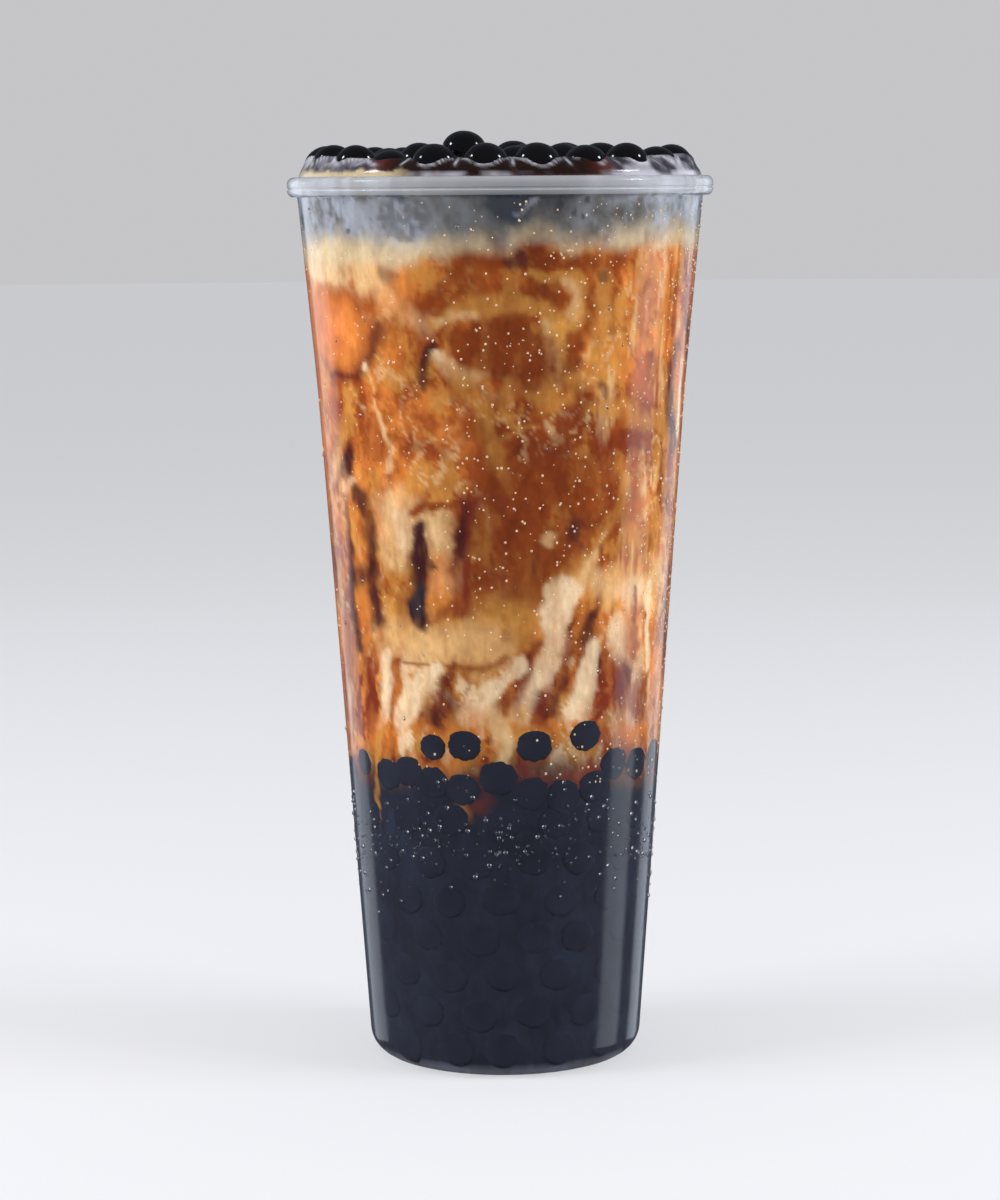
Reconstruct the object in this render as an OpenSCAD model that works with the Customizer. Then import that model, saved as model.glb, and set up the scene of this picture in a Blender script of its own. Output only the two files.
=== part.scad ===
// Bubble tea in a tall clear plastic cup: a bed of tapioca pearls in syrup, milk tea, a pale
// cream layer, and a layer of pearls heaped over the brim.
// The cup stands on z = 0 with its axis on Z, and its front faces -Y. Millimetres.

/* [Cup] */
// Height from the table to the top of the rim
cup_h = 188; // [160:1:225]
// Outer diameter of the rim
rim_d = 90; // [78:1:108]
// Outer diameter of the wall, carried down to the table
foot_d = 57.6; // [48:0.2:69]
// Wall thickness
wall = 0.8; // [0.5:0.05:1.2]
// Floor thickness
floor_t = 1; // [0.6:0.1:2]
// Outer radius of the rounded corner at the foot
corner_r = 5.5; // [3:0.5:8]
// How far below the rim the wall starts to open wider
shoulder_drop = 39; // [20:1:60]
// How far the wall lies inside a straight line from foot to mouth at that height
shoulder_in = 0.75; // [0:0.05:2]
// Width of the flat ring that the cup stands on
foot_ring = 2.5; // [1.5:0.5:5]
// Depth of the shallow recess under the floor
recess_h = 1.2; // [0.4:0.1:2]

/* [Rim] */
// Height of the rolled rim
rim_h = 4.2; // [3.4:0.1:6]
// How far the rim stands out from the wall
rim_lip = 2.2; // [1.6:0.1:3.5]
// Radius of the fine groove round the rim
groove_r = 0.3; // [0.1:0.05:0.5]
// Height of the groove above the underside of the rim
groove_h = 1.75; // [1.3:0.05:2.2]
// Radius of the cove under the rim
cove_r = 1; // [0.5:0.1:1.5]

/* [Contents] */
// Height of the syrup that the lower pearls lie in
bed_h = 58; // [30:1:90]
// How far below the top of the rim the cream layer starts
cream_drop = 14; // [8:1:30]
// Radius of the liquid's rounded edge, where it stands above the brim
bulge_r = 2.6; // [1:0.1:3.5]
// How far below the top of the rim that rounded edge starts
brim_drop = 0.3; // [0:0.1:1]

/* [Pearls] */
// Diameter of the largest pearl
pearl_d = 10; // [8:0.1:12]
// Share by which the smallest pearl is smaller
pearl_vary = 0.1; // [0:0.01:0.2]
// Least gap between two pearls of the top layer
pearl_gap = 0.2; // [0.1:0.05:0.5]
// Clearance between the outer pearls and the cup
rim_clear = 0.4; // [0.3:0.05:1]
// How far the centres of the outer pearls lie above the rim
pearl_lift = 1.6; // [0.5:0.1:3]
// How much higher each ring further in lies
ring_rise = 0.35; // [0:0.05:1]
// Most that a pearl lies above or below its ring
pearl_wave = 0.6; // [0:0.1:1]
// Extra height of the one pearl that stands proud
proud_lift = 3; // [0:0.1:4]
// Angle of the first outer pearl from the front
first_turn = -4.5; // [-10:0.5:10]
// Further turn of each ring against the one outside it
ring_turn = 11; // [0:0.5:30]
// Share of a pearl's diameter that separates two pearls of the lower bed
bed_packing = 0.92; // [0.85:0.01:1.05]
// Clearance between the lower bed's outer pearls and the wall
bed_clear = 0.5; // [0.4:0.05:1]
// Share of a pearl's radius by which the lower bed's top pearls lie above its syrup
bed_stand = 0.45; // [0.2:0.05:0.5]
// Angle of the lower bed's first top pearl from the front
bed_turn = 4; // [-10:0.5:10]

/* [Hidden] */
$fn = 96;
// Clearance between the contents and whatever holds them
gap = 0.1;
eps = 0.01;
// How far the groove's centre lies outside the rim
groove_out = groove_r / 3;
// How far the cove reaches up into the rim
cove_reach = rim_lip / 4;

foot_r = foot_d / 2;
mouth_r = rim_d / 2 - rim_lip;
rim_z = cup_h - rim_h;
shoulder_z = rim_z - shoulder_drop;
shoulder_r = foot_r + (mouth_r - foot_r) * shoulder_z / rim_z - shoulder_in;
low_slope = (shoulder_r - foot_r) / shoulder_z;
high_slope = (mouth_r - shoulder_r) / shoulder_drop;
recess_r = foot_r - corner_r - foot_ring;

// Outer radius of the wall at height z
function wall_r(z) = z < shoulder_z
    ? foot_r + low_slope * z
    : shoulder_r + high_slope * (z - shoulder_z);

pearl_r = pearl_d / 2;
pitch = pearl_d + pearl_gap;

// Pearls that fit round a ring of radius r; a ring too small for two holds one
function ring_count(r, step) = r < step / 2 ? 1 : floor(180 / asin(step / (2 * r)) + eps);
function ring_radii(outer, step) = [for (k = [0:floor(outer / step)]) outer - k * step];

// Share of the full size, and height between -1 and 1, of the n-th pearl
function pearl_share(n, seed) = 1 - pearl_vary * rands(0, 1, 1, seed + n)[0];
function pearl_wander(n, seed) = rands(-1, 1, 1, seed + 100 + n)[0];

// Places on rings from the outermost inwards, each [radius, turn, ring number]
function ring_places(outer, step, turn) =
    let (radii = ring_radii(outer, step))
    [for (k = [0:len(radii) - 1])
        let (count = ring_count(radii[k], step))
            for (i = [0:count - 1]) [radii[k], turn + k * ring_turn + i * 360 / count, k]];

// The top layer
top_outer = mouth_r - wall - pearl_r - rim_clear;
top_places = ring_places(top_outer, pitch, first_turn);
top_seed = 7;
// The proud pearl is the second ring's nearest to the front left
proud_ring = 1;
proud_turn = -18;
function is_proud(place) = place[2] == proud_ring
    && abs(((place[1] - proud_turn + 540) % 360) - 180) < 90 / ring_count(place[0], pitch);
function top_pearl(n) =
    let (p = top_places[n])
    [p[0] * sin(p[1]), -p[0] * cos(p[1]),
        cup_h + pearl_lift + ring_rise * p[2] + pearl_wave * pearl_wander(n, top_seed)
            + (is_proud(p) ? proud_lift : 0),
        pearl_r * pearl_share(n, top_seed)];

// The pearls that stand out of the top of the lower bed
bed_wall_r = wall_r(bed_h) - wall;
bed_step = pearl_d * bed_packing;
bed_outer = bed_wall_r - pearl_r - bed_clear;
bed_places = ring_places(bed_outer, bed_step, bed_turn);
bed_seed = 41;
function bed_pearl(n) =
    let (p = bed_places[n])
    [p[0] * sin(p[1]), -p[0] * cos(p[1]),
        bed_h + pearl_r * bed_stand * (1 + pearl_wander(n, bed_seed)),
        pearl_r * pearl_share(n, bed_seed)];

// Up to this many pearls get a node each, and the last node holds any that are left
most_pearl_nodes = 54;
top_count = len(top_places);
pearl_nodes = min(top_count, most_pearl_nodes);
function pearl_name(n) = str("pearl_", n < 9 ? "0" : "", n + 1);

// Half section of the wall's outline, moved in by inset, from the height low up to high
module wall_section(inset, low, high) {
    q = corner_r - inset;
    centre_x = foot_r - inset + low_slope * (low + q) - q * sqrt(1 + low_slope * low_slope);
    lean = atan(low_slope);
    polygon([
        [0, low],
        [centre_x, low],
        [centre_x + q * cos(lean), low + q - q * sin(lean)],
        [shoulder_r - inset, shoulder_z],
        [wall_r(high) - inset, high],
        [0, high],
    ]);
    translate([centre_x, low + q]) circle(r = q);
}

// Half section of the free space in the cup, moved in by inset
module cavity_section(inset, high) {
    difference() {
        wall_section(wall + inset, floor_t + inset, high);
        polygon([
            [-eps, 0],
            [recess_r + wall, 0],
            [recess_r + wall, floor_t + inset],
            [recess_r + wall - recess_h, floor_t + inset + recess_h],
            [-eps, floor_t + inset + recess_h],
        ]);
    }
}

module rim_section() {
    round_r = (rim_lip + wall) / 2;
    centre_x = rim_d / 2 - round_r;
    difference() {
        union() {
            translate([centre_x, cup_h - round_r]) circle(r = round_r);
            translate([centre_x, rim_z + round_r]) circle(r = round_r);
            translate([centre_x - round_r, rim_z + round_r]) square([2 * round_r, rim_h - 2 * round_r]);
        }
        translate([rim_d / 2 + groove_out, rim_z + groove_h]) circle(r = groove_r);
    }
}

// The cove reaches up into the rolled rim, so that the two join
module cove_section() {
    low = rim_z + cove_reach - cove_r;
    side = wall_r(low) - wall / 2;
    difference() {
        translate([side, low]) square([wall / 2 + cove_r, cove_r]);
        translate([side + wall / 2 + cove_r, low]) circle(r = cove_r);
    }
}

module recess_section() {
    polygon([
        [-eps, -eps],
        [recess_r + eps, -eps],
        [recess_r - recess_h, recess_h],
        [-eps, recess_h],
    ]);
}

module cup() {
    color("aliceblue", 0.35)
    rotate_extrude() difference() {
        union() {
            wall_section(0, 0, cup_h - rim_h / 2);
            rim_section();
            cove_section();
        }
        cavity_section(0, cup_h + 1);
        recess_section();
    }
}

// The free space in the cup between two heights, with the contents' clearance
module filling(low, high) {
    rotate_extrude() intersection() {
        cavity_section(gap, high);
        translate([0, low]) square([rim_d, high - low]);
    }
}

// The pearls that stand out of the lower bed's syrup, grown by extra
module bed_pearls(extra) {
    for (n = [0:len(bed_places) - 1]) {
        p = bed_pearl(n);
        translate([p[0], p[1], p[2]]) sphere(r = p[3] + extra);
    }
}

module pearl_bed() {
    color("#23202a") {
        filling(0, bed_h);
        bed_pearls(0);
    }
}

module milk_tea() {
    color("#b8743a")
    difference() {
        filling(bed_h + gap, cup_h - cream_drop);
        bed_pearls(gap);
    }
}

// Liquid with a rounded edge that stands above the brim
module brimful(low) {
    edge_z = cup_h - brim_drop;
    edge_r = wall_r(edge_z) - wall - gap;
    rotate_extrude() {
        intersection() {
            cavity_section(gap, edge_z);
            translate([0, low]) square([rim_d, edge_z - low]);
        }
        translate([0, edge_z - eps]) square([edge_r - bulge_r, bulge_r + eps]);
        intersection() {
            translate([edge_r - bulge_r, edge_z]) circle(r = bulge_r);
            translate([0, edge_z - eps]) square([rim_d, 2 * bulge_r]);
        }
    }
}

module cream_layer() {
    color("#d8cfc0")
    difference() {
        brimful(cup_h - cream_drop + gap);
        for (n = [0:top_count - 1]) {
            p = top_pearl(n);
            translate([p[0], p[1], p[2]]) sphere(r = p[3] + gap);
        }
    }
}

module pearl(n) {
    p = top_pearl(n);
    color("#1b1416")
    translate([p[0], p[1], p[2]]) sphere(r = p[3]);
}

cup();
pearl_bed();
milk_tea();
cream_layer();
for (n = [0:top_count - 1])
    pearl(n);
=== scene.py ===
# Bubble tea in a tall clear plastic cup: the looks of the drink round its solid model.
# Sizes are in millimetres in the functions below, and in metres in the settings.
# Angles are in degrees round the cup's axis, from 0 at the front to 90 at the right.
import itertools
import math

import bpy
import numpy as np
from mathutils import Matrix, Vector


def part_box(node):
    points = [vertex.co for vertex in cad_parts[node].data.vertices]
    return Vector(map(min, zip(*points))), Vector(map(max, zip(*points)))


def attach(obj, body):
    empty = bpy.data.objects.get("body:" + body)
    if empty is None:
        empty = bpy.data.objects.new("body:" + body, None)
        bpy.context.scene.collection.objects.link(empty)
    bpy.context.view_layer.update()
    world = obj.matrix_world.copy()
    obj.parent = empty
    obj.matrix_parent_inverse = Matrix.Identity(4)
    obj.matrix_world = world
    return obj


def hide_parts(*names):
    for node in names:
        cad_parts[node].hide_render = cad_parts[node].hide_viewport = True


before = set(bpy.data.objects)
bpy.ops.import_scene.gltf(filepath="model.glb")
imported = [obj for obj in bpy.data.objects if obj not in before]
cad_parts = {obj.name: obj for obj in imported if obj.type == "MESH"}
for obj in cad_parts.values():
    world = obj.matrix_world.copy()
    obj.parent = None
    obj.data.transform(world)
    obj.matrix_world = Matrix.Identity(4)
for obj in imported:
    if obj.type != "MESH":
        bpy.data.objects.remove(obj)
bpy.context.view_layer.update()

bl_info = {
    "name": "Bubble Tea",
    "version": (1, 0, 0),
    "blender": (4, 5, 0),
    "location": "View3D > Sidebar > Bubble Tea",
    "description": "Builds a cup of marbled milk tea heaped with tapioca pearls",
    "category": "Add Mesh",
}

MM = 0.001
# the name of the attribute that holds a mesh's own colours
PAINT = "marbling"
PEARL_NODES = sorted(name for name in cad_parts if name.startswith("pearl_") and name != "pearl_bed")
CUP_LOW, CUP_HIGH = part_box("cup")


def linear(code):
    """The linear colour of a hexadecimal screen colour."""
    parts = [int(code[i:i + 2], 16) / 255 for i in (0, 2, 4)]
    return tuple(c / 12.92 if c <= 0.04045 else ((c + 0.055) / 1.055) ** 2.4 for c in parts)


def number(name, text, value, **limits):
    return bpy.props.FloatProperty(name=name, description=text, default=value, **limits)


def length(name, text, value):
    return number(name, text, value * MM, unit="LENGTH", precision=5)


def share(name, text, value):
    return number(name, text, value, min=0, max=1)


def turned(name, text, value):
    return number(name, text, math.radians(value), subtype="ANGLE")


def amount(name, text, value):
    return bpy.props.IntProperty(name=name, description=text, default=value, min=0)


def colour(name, text, code):
    return bpy.props.FloatVectorProperty(
        name=name, description=text, default=linear(code), subtype="COLOR", size=3, min=0, max=1)


# ---------------------------------------------------------------- settings


class CupSettings(bpy.types.PropertyGroup):
    """Sizes and plastic of the cup"""
    height: length("Height", "From the table to the top of the rim", CUP_HIGH.z / MM)
    rim_width: length("Rim width", "Outer diameter of the rim", (CUP_HIGH.x - CUP_LOW.x) / MM)
    foot_width: length("Foot width", "Outer diameter of the wall, carried down to the table", 57.6)
    wall: length("Wall", "Wall thickness", 0.8)
    floor: length("Floor", "Floor thickness", 1.0)
    corner: length("Corner", "Outer radius of the corner at the foot", 5.5)
    shoulder_drop: length("Shoulder drop", "How far below the rim the wall starts to open wider", 39)
    shoulder_in: length("Shoulder in", "How far the wall lies inside a straight line there", 0.75)
    foot_ring: length("Foot ring", "Width of the flat ring that the cup stands on", 2.5)
    recess: length("Recess", "Depth of the recess under the floor", 1.2)
    rim_height: length("Rim height", "Height of the rolled rim", 4.2)
    rim_lip: length("Rim lip", "How far the rim stands out from the wall", 2.2)
    plastic: colour("Plastic", "Colour of the clear plastic", "f3f5fa")
    rim_clear: share("Rim clearness", "How much of the light passes the rim", 0.7)
    haze: share("Haze", "Roughness of the plastic", 0.15)


class TeaSettings(bpy.types.PropertyGroup):
    """Colours of the marbled tea"""
    caramel: colour("Caramel", "The tea's own colour", "a85419")
    orange: colour("Orange", "Lighter tea with light behind it", "da863a")
    dark: colour("Dark caramel", "Syrup-rich tea", "8c3f12")
    red: colour("Red brown", "Syrup that runs down the wall", "823219")
    plum: colour("Plum", "Thick dark syrup", "42171c")
    tan: colour("Tan", "Tea with much milk", "cd9043")
    cream: colour("Cream", "Streaks of cream", "ecc890")
    milk: colour("Milk", "Streaks of pure milk", "f5dcb4")
    # Rose is also laid in strips down both edges of the cup, as painted rim light.
    rose: colour("Rose", "Tea at the edge of an ice cube", "bf6f4a")
    reach: length("Reach", "How far the contents reach into the wall", 0.1)


class TopSettings(bpy.types.PropertyGroup):
    """The milky band, the film and the syrup at the top"""
    band_cream: colour("Band cream", "Cream at the foot of the band", "c6b38e")
    band_grey: colour("Band grey", "Thin milk in front of dark pearls", "4e4e4c")
    # Besides condensed haze, this pale is painted light: rim light at the sides of the band, a glint line
    # on it and a light line along the foot of the bed.
    haze_and_painted_light: colour("Band pale", "Condensed haze on the band", "aeb3bd")
    film: colour("Film", "Milk film that hangs between the pearls", "c4c2cc")
    film_thin: colour("Thin film", "Thin milk over dark pearls", "34313b")
    syrup: colour("Syrup", "Brown sugar syrup at the front", "1d0f0a")
    syrup_edge: colour("Syrup edge", "Thin syrup with light through it", "5a2414")
    climb: length("Climb", "How far the film climbs up a pearl", 2.3)


class PearlSettings(bpy.types.PropertyGroup):
    """Tapioca pearls"""
    top: colour("Top pearls", "Colour of the pearls on top", "0d0809")
    # The pearls' own near-black, lifted to navy by a painted reflection of pale light off the misted
    # plastic.
    sunk: colour("Sunk pearls", "Colour of the pearls in the bed", "292c38")
    width: length("Bed pearl", "Diameter of the pearls in the bed", 9.4)
    lumps: length("Lumps", "How uneven a pearl is", 0.22)
    bed_top: length("Bed top", "Height of the syrup in the lower bed", 58)
    bed_joint: length("Bed joint", "Height at which the tea's mesh takes over from the bed's", 50)


class DropSettings(bpy.types.PropertyGroup):
    """Condensation on the cup"""
    fine: amount("Fine drops", "How many fine drops", 2600)
    large: amount("Large drops", "How many larger drops", 1100)
    width_low: length("Smallest", "Width of the smallest drop", 0.3)
    width_high: length("Largest", "Width of the largest drop", 1.0)


class StageSettings(bpy.types.PropertyGroup):
    """Floor, light and camera"""
    eye_height: length("Eye height", "Height of the camera", 186.25)
    eye_distance: length("Eye distance", "Distance of the camera from the cup's axis", 730.4)
    pitch: turned("Pitch", "How far the camera looks down", 6.9)
    roll: turned("Roll", "How far the camera leans", 0.37)
    lens: number("Lens", "Focal length", 103.0, unit="CAMERA")
    floor: colour("Floor", "Colour of the floor", "9c9c9f")


SETTINGS = {
    "boba_cup": CupSettings,
    "boba_tea": TeaSettings,
    "boba_top": TopSettings,
    "boba_pearl": PearlSettings,
    "boba_drop": DropSettings,
    "boba_stage": StageSettings,
}


# ---------------------------------------------------------------- the cup's form


class CupForm:
    """The cup's radii in millimetres, from the cup settings."""

    def __init__(self, context):
        cup = context.scene.boba_cup
        self.height = cup.height / MM
        self.rim_r = cup.rim_width / MM / 2
        self.wall = cup.wall / MM
        self.floor = cup.floor / MM
        self.corner = cup.corner / MM
        self.recess = cup.recess / MM
        self.rim_height = cup.rim_height / MM
        self.rim_lip = cup.rim_lip / MM
        self.foot_r = cup.foot_width / MM / 2
        self.mouth_r = self.rim_r - self.rim_lip
        self.rim_z = self.height - self.rim_height
        drop = cup.shoulder_drop / MM
        self.shoulder_z = self.rim_z - drop
        straight = self.foot_r + (self.mouth_r - self.foot_r) * self.shoulder_z / self.rim_z
        self.shoulder_r = straight - cup.shoulder_in / MM
        self.low_slope = (self.shoulder_r - self.foot_r) / self.shoulder_z
        self.high_slope = (self.mouth_r - self.shoulder_r) / drop
        self.recess_r = self.foot_r - self.corner - cup.foot_ring / MM
        self.step_r = self.recess_r + self.wall

    def outer(self, z):
        """Outer radius of the wall at height z, for a number or an array."""
        low = self.foot_r + self.low_slope * z
        high = self.shoulder_r + self.high_slope * (z - self.shoulder_z)
        return np.where(np.asarray(z) < self.shoulder_z, low, high)

    def inner(self, z):
        return self.outer(z) - self.wall

    def corner_arc(self, inset, low, steps):
        """Points of the rounded corner, from the floor at height low up to the wall."""
        q = self.corner - inset
        lean = math.atan(self.low_slope)
        centre = self.foot_r - inset + self.low_slope * (low + q) - q * math.hypot(1, self.low_slope)
        turns = np.linspace(-math.pi / 2, -lean, steps)
        return [(centre + q * math.cos(t), low + q + q * math.sin(t)) for t in turns]


# ---------------------------------------------------------------- modelling helpers


def deselect():
    bpy.ops.object.select_all(action="DESELECT")


def revolve(name, outline, steps):
    """A body of revolution from an outline of (radius, height) points in millimetres."""
    deselect()
    bpy.ops.mesh.primitive_plane_add(size=MM)
    obj = bpy.context.object
    obj.name = obj.data.name = name
    bpy.ops.object.mode_set(mode="EDIT")
    bpy.ops.mesh.select_mode(type="VERT")
    bpy.ops.mesh.select_all(action="SELECT")
    bpy.ops.mesh.merge(type="CENTER")
    bpy.ops.transform.translate(value=(outline[0][0] * MM, 0, outline[0][1] * MM))
    for start, end in zip(outline, outline[1:]):
        move = ((end[0] - start[0]) * MM, 0, (end[1] - start[1]) * MM)
        bpy.ops.mesh.extrude_region_move(TRANSFORM_OT_translate={"value": move})
    bpy.ops.mesh.select_all(action="SELECT")
    bpy.ops.mesh.spin(steps=steps, angle=2 * math.pi, center=(0, 0, 0), axis=(0, 0, 1))
    bpy.ops.mesh.select_all(action="SELECT")
    bpy.ops.mesh.remove_doubles(threshold=0.002 * MM)
    bpy.ops.mesh.normals_make_consistent(inside=False)
    bpy.ops.object.mode_set(mode="OBJECT")
    bpy.ops.object.shade_smooth_by_angle(angle=math.radians(40))
    return obj


def points_of(mesh):
    """The mesh's points in millimetres, as an array of three columns."""
    co = np.empty(len(mesh.vertices) * 3, np.float32)
    mesh.vertices.foreach_get("co", co)
    return co.reshape(-1, 3).astype(float) / MM


def set_points(mesh, points):
    mesh.vertices.foreach_set("co", (points * MM).astype(np.float32).ravel())
    mesh.update()


def scatter(name, model, places):
    """One mesh with a copy of the model mesh at each place, a (3x3 turn and size, position) pair."""
    base = points_of(model)
    faces = [list(p.vertices) for p in model.polygons]
    corners = np.array([i for face in faces for i in face])
    starts = np.cumsum([0] + [len(face) for face in faces[:-1]])
    totals = np.array([len(face) for face in faces])
    count = len(places)
    turns = np.array([p[0] for p in places])
    moves = np.array([p[1] for p in places])
    points = np.einsum("nij,vj->nvi", turns, base) + moves[:, None, :]
    mesh = bpy.data.meshes.new(name)
    mesh.vertices.add(count * len(base))
    mesh.loops.add(count * len(corners))
    mesh.polygons.add(count * len(faces))
    steps = np.arange(count)[:, None]
    mesh.loops.foreach_set("vertex_index", (corners + steps * len(base)).ravel())
    mesh.polygons.foreach_set("loop_start", (starts + steps * len(corners)).ravel())
    mesh.polygons.foreach_set("loop_total", np.tile(totals, count))
    set_points(mesh, points.reshape(-1, 3))
    mesh.update(calc_edges=True)
    mesh.validate()
    obj = bpy.data.objects.new(name, mesh)
    bpy.context.scene.collection.objects.link(obj)
    mesh.shade_smooth()
    return obj


def finish_piece(obj, material, slot, *nodes):
    """Gives a piece its material and its body, and hides the nodes it stands for. The slot is not used."""
    obj.data.materials.clear()
    obj.data.materials.append(material)
    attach(obj, "root")
    if nodes:
        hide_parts(*nodes)


# ---------------------------------------------------------------- painting on a mesh


def shown_height(context, nearness, height):
    """The height at which a place shows from the front, a little from above.

    A place that lies nearer than the cup's axis shows lower against the outline.
    """
    stage = context.scene.boba_stage
    eye_height, eye_distance = stage.eye_height / MM, stage.eye_distance / MM
    return height - nearness * (eye_height - height) / (eye_distance - nearness)


def true_height(context, nearness, shown):
    """The height of a place that shows at a given height from the front."""
    stage = context.scene.boba_stage
    share = nearness / (stage.eye_distance / MM)
    return shown + share * (stage.eye_height / MM - shown)


def smooth(low, high, value):
    part = np.clip((value - low) / (high - low), 0, 1)
    return part * part * (3 - 2 * part)


class Clouds:
    """Smooth random values from 0 to 1 in space, alike on every run."""
    side = 32

    def __init__(self, seed):
        self.values = np.random.default_rng(seed).random((self.side,) * 3)

    def once(self, points):
        cell = np.floor(points).astype(int)
        part = points - cell
        part = part * part * (3 - 2 * part)
        total = np.zeros(len(points))
        for corner in itertools.product((0, 1), repeat=3):
            i, j, k = ((cell + corner) % self.side).T
            weight = np.prod(np.where(corner, part, 1 - part), axis=1)
            total += weight * self.values[i, j, k]
        return total

    def at(self, points, grain, layers=3, fade=0.5):
        """Layered values, with grain the size of the largest clouds in millimetres."""
        grain = np.broadcast_to(np.asarray(grain, float), (3,))
        skew = points @ np.array([[0.8, 0.6, 0], [-0.6, 0.8, 0], [0, 0, 1]])
        total, most, share = 0, 0, 1
        for layer in range(layers):
            total = total + share * self.once(skew / grain * 2 ** layer + 7.3 * layer)
            most += share
            share *= fade
        return total / most


class Canvas:
    """Colours on the points of a mesh, laid on by place: angle round the cup and height."""
    # how far fine upright streaks thin a stroke out
    thin = 0.35

    def __init__(self, points, ground, seed, wander):
        self.points = points
        self.angle = np.degrees(np.arctan2(points[:, 0], -points[:, 1]))
        self.radius = np.hypot(points[:, 0], points[:, 1])
        self.height = points[:, 2]
        self.clouds = Clouds(seed)
        self.colours = np.tile(np.array(ground, float), (len(points), 1))
        self.slip = wander * (self.clouds.at(points + 31, 11, 5, 0.62) - 0.5)
        self.rise = wander * (self.clouds.at(points + 57, 11, 5, 0.62) - 0.5)
        self.ragged = self.clouds.at(points + 71, (3.0, 3.0, 4.5), 3, 0.7) - 0.5
        self.feather = smooth(0.3, 0.62, self.clouds.at(points + 83, (1.5, 1.5, 7), 3))

    def across(self, angle):
        """Distance along the wall from an angle, in millimetres, to the right of it."""
        turn = (self.angle - angle + 180) % 360 - 180
        return np.radians(turn) * self.radius + self.slip

    def up(self, height):
        return self.height - height + self.rise

    def lay(self, paint, cover):
        cover = np.clip(cover, 0, 1)[:, None]
        self.colours += (np.array(paint) - self.colours) * cover

    def spot(self, paint, angle, height, wide, tall, soft=0.5, strength=1.0, lean=0.0):
        """A soft oval, lean degrees clockwise."""
        x, z = self.across(angle), self.up(height)
        c, s = math.cos(math.radians(lean)), math.sin(math.radians(lean))
        u, v = (c * x - s * z) * 2 / wide, (s * x + c * z) * 2 / tall
        away = np.hypot(u, v) * (1 + 0.5 * self.ragged)
        self.lay(paint, strength * (1 - smooth(1 - soft, 1 + soft, away)))

    def stroke(self, paint, path, widths, soft=0.5, strength=1.0):
        """A line through (angle, height) places, as wide as its first width and then its last."""
        places = rounded_path(path)
        count = len(places) - 1
        cover = np.zeros(len(self.points))
        for n, (start, end) in enumerate(zip(places, places[1:])):
            x0, z0 = self.across(start[0]), self.up(start[1])
            dx, dz = np.radians(end[0] - start[0]) * self.radius, end[1] - start[1]
            part = np.clip((x0 * dx + z0 * dz) / (dx * dx + dz * dz + 1e-9), 0, 1)
            away = np.hypot(x0 - part * dx, z0 - part * dz)
            half = (widths[0] + (widths[1] - widths[0]) * (n + part) / count) / 2
            half = half * (1 + 1.2 * self.ragged)
            cover = np.maximum(cover, 1 - smooth(half * (1 - soft), half * (1 + soft), away))
        self.lay(paint, strength * cover * (1 - self.thin * (1 - self.feather)))

    def store(self, mesh):
        layer = mesh.attributes.new(PAINT, "FLOAT_COLOR", "POINT")
        full = np.ones((len(self.points), 4), np.float32)
        full[:, :3] = self.colours
        layer.data.foreach_set("color", full.ravel())


def rounded_path(path, parts=4):
    """A smooth curve through the path's places, by Catmull and Rom's rule."""
    if len(path) < 3:
        return [np.array(p, float) for p in path]
    ends = [2 * np.array(path[0]) - path[1], *map(np.array, path), 2 * np.array(path[-1]) - path[-2]]
    curve = []
    for a, b, c, d in zip(ends, ends[1:], ends[2:], ends[3:]):
        for t in np.arange(parts) / parts:
            curve.append(0.5 * (2 * b + (c - a) * t + (2 * a - 5 * b + 4 * c - d) * t ** 2
                                + (3 * b - a - 3 * c + d) * t ** 3))
    return curve + [np.array(path[-1], float)]


# ---------------------------------------------------------------- the marbling


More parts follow.
